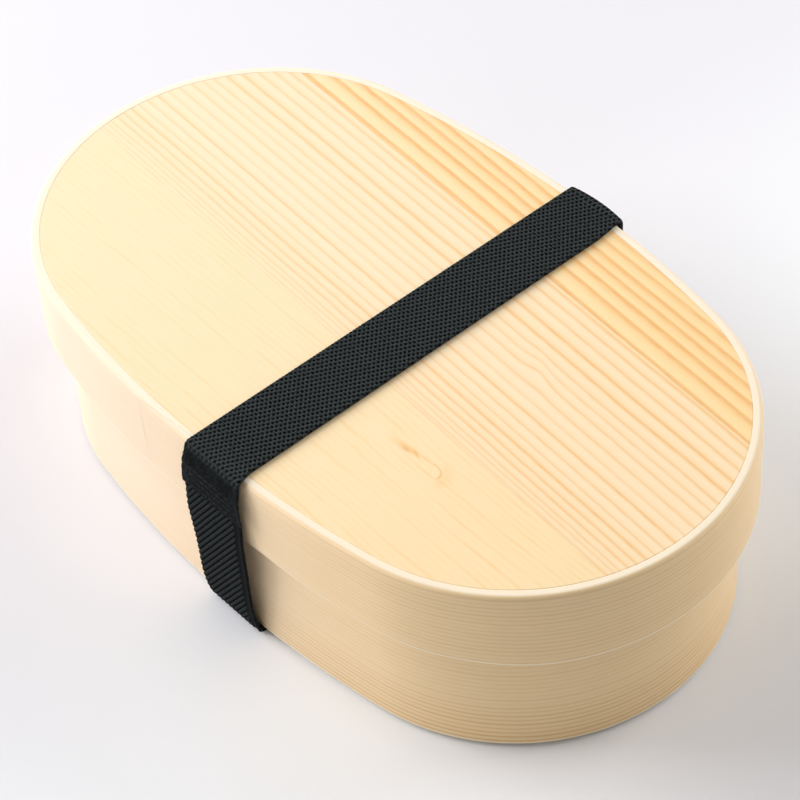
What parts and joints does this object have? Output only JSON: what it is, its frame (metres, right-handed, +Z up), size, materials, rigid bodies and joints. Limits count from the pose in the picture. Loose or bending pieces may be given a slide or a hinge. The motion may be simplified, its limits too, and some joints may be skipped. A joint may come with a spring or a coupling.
{
  "type": "bento lunch box",
  "caption": "Oval bentwood lunch box with a lift-off lid, a loose divider and an elastic band round its short way.",
  "frame": {"origin": "on the surface the box stands on, under the middle of the box", "axes": "+X along the box's length, +Y across it, +Z up through the lid"},
  "size_m": [0.186, 0.1122, 0.0545],
  "materials": {
    "hoop_wood": "unfinished, fine-sanded pale softwood, quarter-sawn strip",
    "board_wood": "unfinished, fine-sanded pale softwood",
    "lined_wood": "unfinished, fine-sanded pale softwood with narrow growth lines",
    "banded_wood": "unfinished, fine-sanded softwood with strong growth bands",
    "elastic_webbing": "matt woven elastic",
    "thread": "matt spun thread"
  },
  "bodies": {
    "box": {"body_hoop": "hoop_wood", "base_board_wide": "board_wood", "base_board_narrow": "board_wood", "elastic_band": "elastic_webbing", "band_stitching": "thread"},
    "lid": {"lid_hoop": "hoop_wood", "lid_board_near": "board_wood", "lid_board_middle": "lined_wood", "lid_board_far": "banded_wood"},
    "divider": {"divider": "board_wood"}
  },
  "joints": [
    {"name": "lid_lift", "type": "slide", "parent": "box", "child": "lid", "axis": [0, 0, 1], "range_m": [0, 0.045], "stiffness_N_per_m": 60, "springref_m": -0.05, "deforming": ["elastic_band", "band_stitching"]},
    {"name": "divider_slide", "type": "slide", "parent": "box", "child": "divider", "axis": [1, 0, 0], "range_m": [-0.05, 0]}
  ]
}
